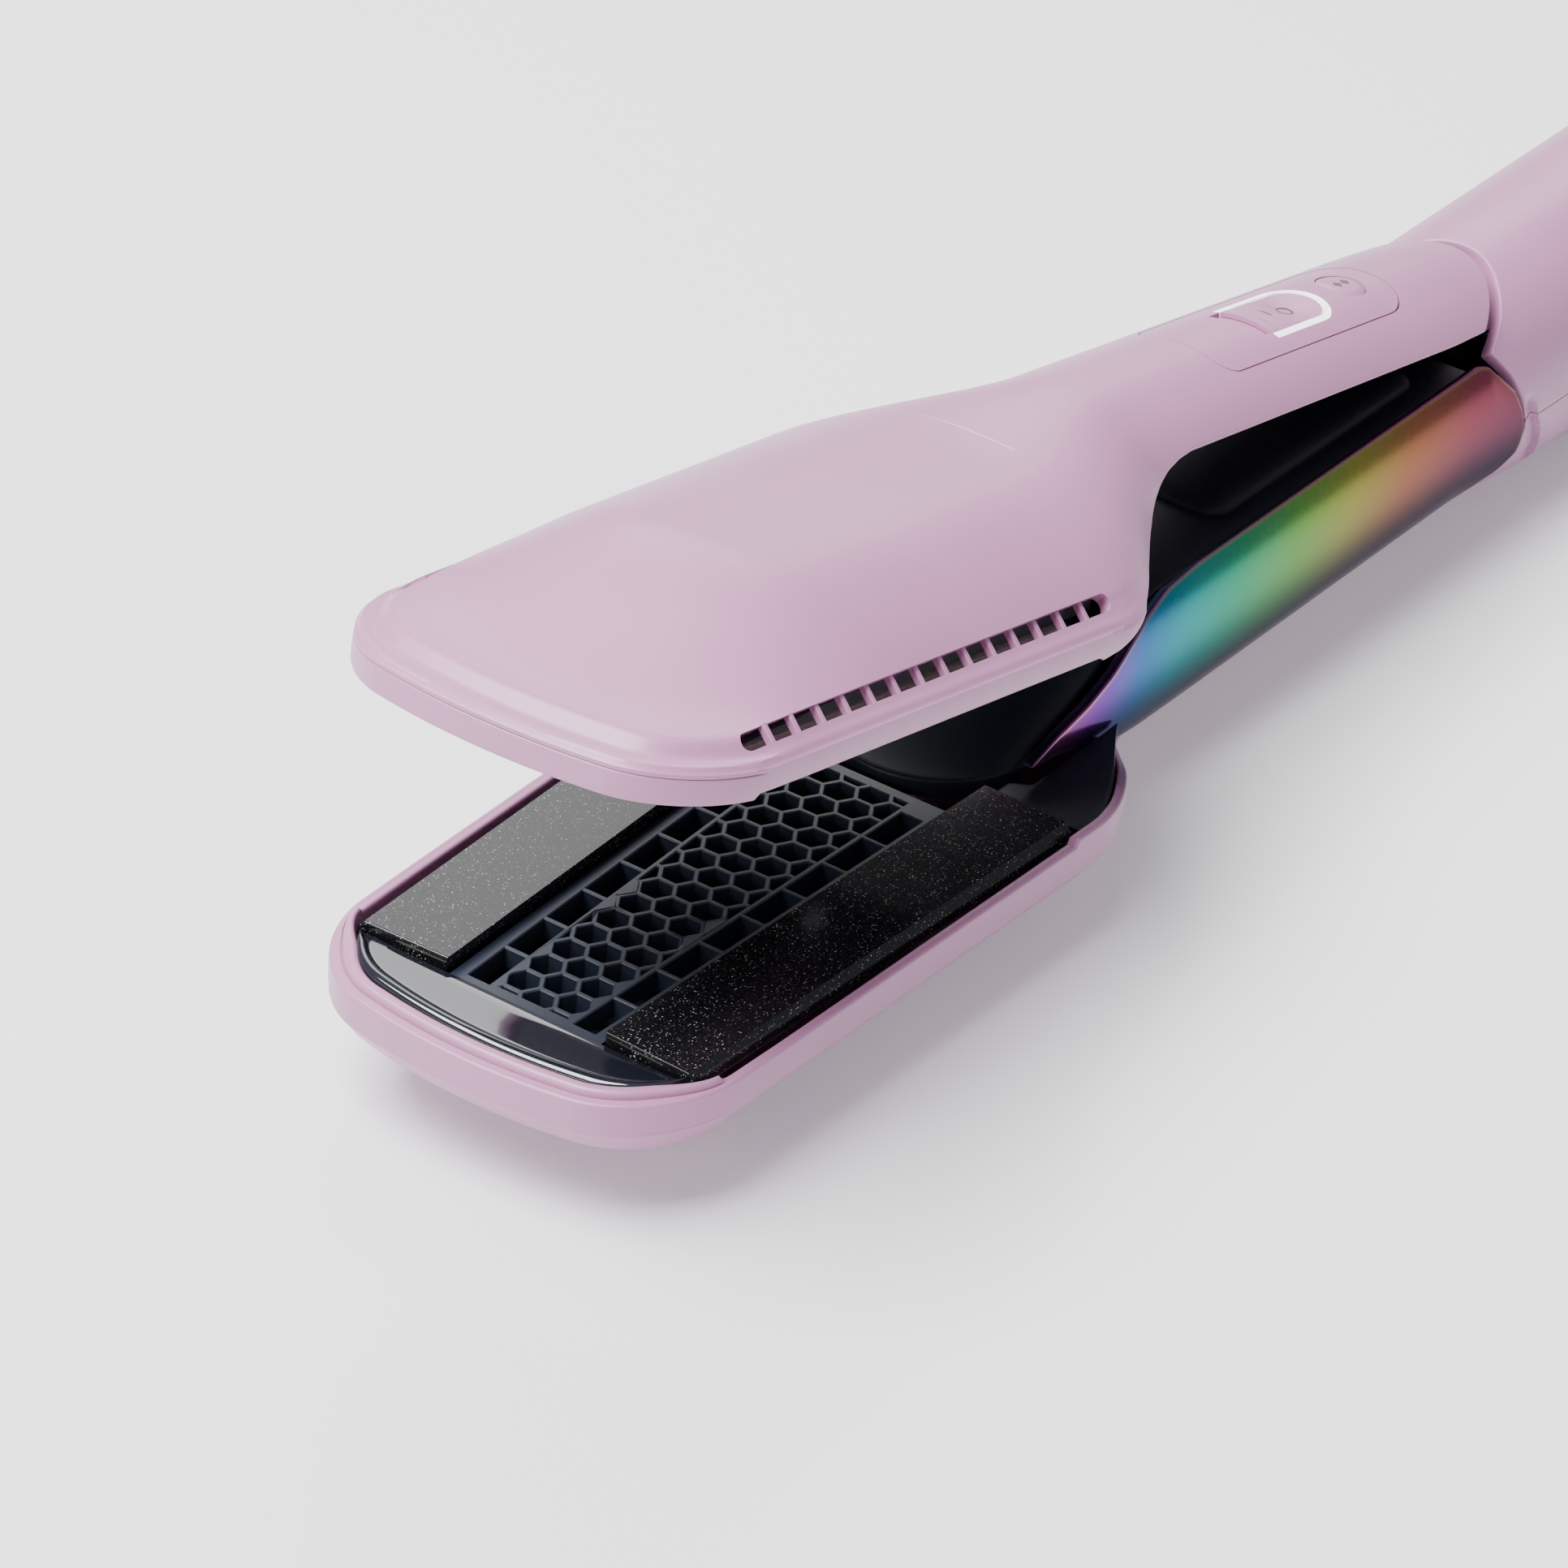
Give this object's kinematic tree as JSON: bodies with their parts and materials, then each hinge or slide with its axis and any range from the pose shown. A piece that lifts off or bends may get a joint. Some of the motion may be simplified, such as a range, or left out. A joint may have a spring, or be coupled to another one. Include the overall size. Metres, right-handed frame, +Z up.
{
  "type": "flat iron",
  "caption": "Wide two-arm wet-to-dry flat iron: hinged paddles with sprung plates and an air grille between them, slim neck with controls, round fan barrel.",
  "frame": {"origin": "centre of the bounding box's footprint, on the plane the iron rests on", "axes": "+X along the iron from the paddle tips to the cord gland, +Y across it, +Z up from the lower arm to the upper arm"},
  "size_m": [0.3222, 0.0658, 0.0727],
  "materials": {
    "pink_shell": "satin lilac pink",
    "iridescent_panel": "mirror-like lens whose colour runs from magenta through blue, teal, green and yellow to red",
    "slate_plastic": "fine satin, heat resistant",
    "black_gloss": "polished black",
    "plate_ceramic": "glossy coated, with fine sparkle",
    "heater_ceramic": "fired, matte",
    "steel": "plated",
    "soft_rubber": "soft matte",
    "circuit_board": "green resist",
    "light_guide": "milky white light guide"
  },
  "bodies": {
    "body": {"lower_shell": "pink_shell", "barrel_upper_shell": "pink_shell", "side_panel_near": "iridescent_panel", "side_panel_far": "iridescent_panel", "neck_inner_cover": "slate_plastic", "lower_tip_cover": "black_gloss", "lower_grille": "slate_plastic", "lower_chassis": "slate_plastic", "lower_chassis_screw_near": "steel", "lower_chassis_screw_far": "steel", "lower_deck": "slate_plastic", "hinge_bracket": "steel", "hinge_pin": "steel", "hinge_spring": "steel", "air_heater_core": "heater_ceramic", "main_board": "circuit_board", "board_capacitor": "black_gloss", "board_relay": "black_gloss", "motor_body": "steel", "motor_mount_ring": "soft_rubber", "fan_shroud": "slate_plastic", "air_straightener": "slate_plastic", "rear_cap": "slate_plastic", "filter_mesh": "steel"},
    "upper_arm": {"upper_shell": "pink_shell", "upper_tip_cover": "black_gloss", "upper_grille": "slate_plastic", "upper_chassis": "slate_plastic", "upper_chassis_screw_near": "steel", "upper_chassis_screw_far": "steel", "upper_deck": "slate_plastic", "vent_baffle_near": "slate_plastic", "vent_baffle_far": "slate_plastic", "upper_inner_cover": "slate_plastic", "control_panel": "pink_shell", "light_ring": "light_guide", "control_board": "circuit_board"},
    "lower_near_plate": {"lower_plate_near": "plate_ceramic", "lower_heater_near": "heater_ceramic"},
    "lower_far_plate": {"lower_plate_far": "plate_ceramic", "lower_heater_far": "heater_ceramic"},
    "upper_near_plate": {"upper_plate_near": "plate_ceramic", "upper_heater_near": "heater_ceramic"},
    "upper_far_plate": {"upper_plate_far": "plate_ceramic", "upper_heater_far": "heater_ceramic"},
    "switch": {"slide_switch": "pink_shell"},
    "button": {"mode_button": "pink_shell"},
    "rotor": {"rotor_shaft": "steel", "impeller": "slate_plastic"},
    "filter_cover": {"filter_cover": "pink_shell"},
    "cord_gland": {"cord_gland": "soft_rubber"}
  },
  "joints": [
    {"name": "arm_hinge", "type": "hinge", "parent": "body", "child": "upper_arm", "pos_m": [0.0791, 0, 0.0267], "axis": [0, -1, 0], "range_deg": [0, 10], "stiffness_Nm_per_rad": 1.2, "springref_deg": -17.19},
    {"name": "lower_near_plate_float", "type": "slide", "parent": "body", "child": "lower_near_plate", "axis": [0, 0, -1], "range_m": [0, 0.0008], "stiffness_N_per_m": 4000, "springref_m": -0.0006},
    {"name": "lower_far_plate_float", "type": "slide", "parent": "body", "child": "lower_far_plate", "axis": [0, 0, -1], "range_m": [0, 0.0008], "stiffness_N_per_m": 4000, "springref_m": -0.0006},
    {"name": "upper_near_plate_float", "type": "slide", "parent": "upper_arm", "child": "upper_near_plate", "axis": [0.1762, 0, 0.9844], "range_m": [0, 0.0008], "stiffness_N_per_m": 4000, "springref_m": -0.0006},
    {"name": "upper_far_plate_float", "type": "slide", "parent": "upper_arm", "child": "upper_far_plate", "axis": [0.1762, 0, 0.9844], "range_m": [0, 0.0008], "stiffness_N_per_m": 4000, "springref_m": -0.0006},
    {"name": "power_slide", "type": "slide", "parent": "upper_arm", "child": "switch", "axis": [-0.9844, 0, 0.1762], "range_m": [0, 0.003]},
    {"name": "mode_press", "type": "slide", "parent": "upper_arm", "child": "button", "axis": [-0.1762, 0, -0.9844], "range_m": [0, 0.0008], "stiffness_N_per_m": 1500, "springref_m": -0.0004},
    {"name": "rotor_spin", "type": "hinge", "parent": "body", "child": "rotor", "pos_m": [0.1101, 0, 0.0187], "axis": [1, 0, 0], "continuous": true},
    {"name": "filter_cover_pull", "type": "slide", "parent": "body", "child": "filter_cover", "axis": [1, 0, 0], "range_m": [0, 0.02]},
    {"name": "gland_swivel", "type": "hinge", "parent": "body", "child": "cord_gland", "pos_m": [0.1541, 0, 0.0187], "axis": [1, 0, 0], "continuous": true}
  ]
}
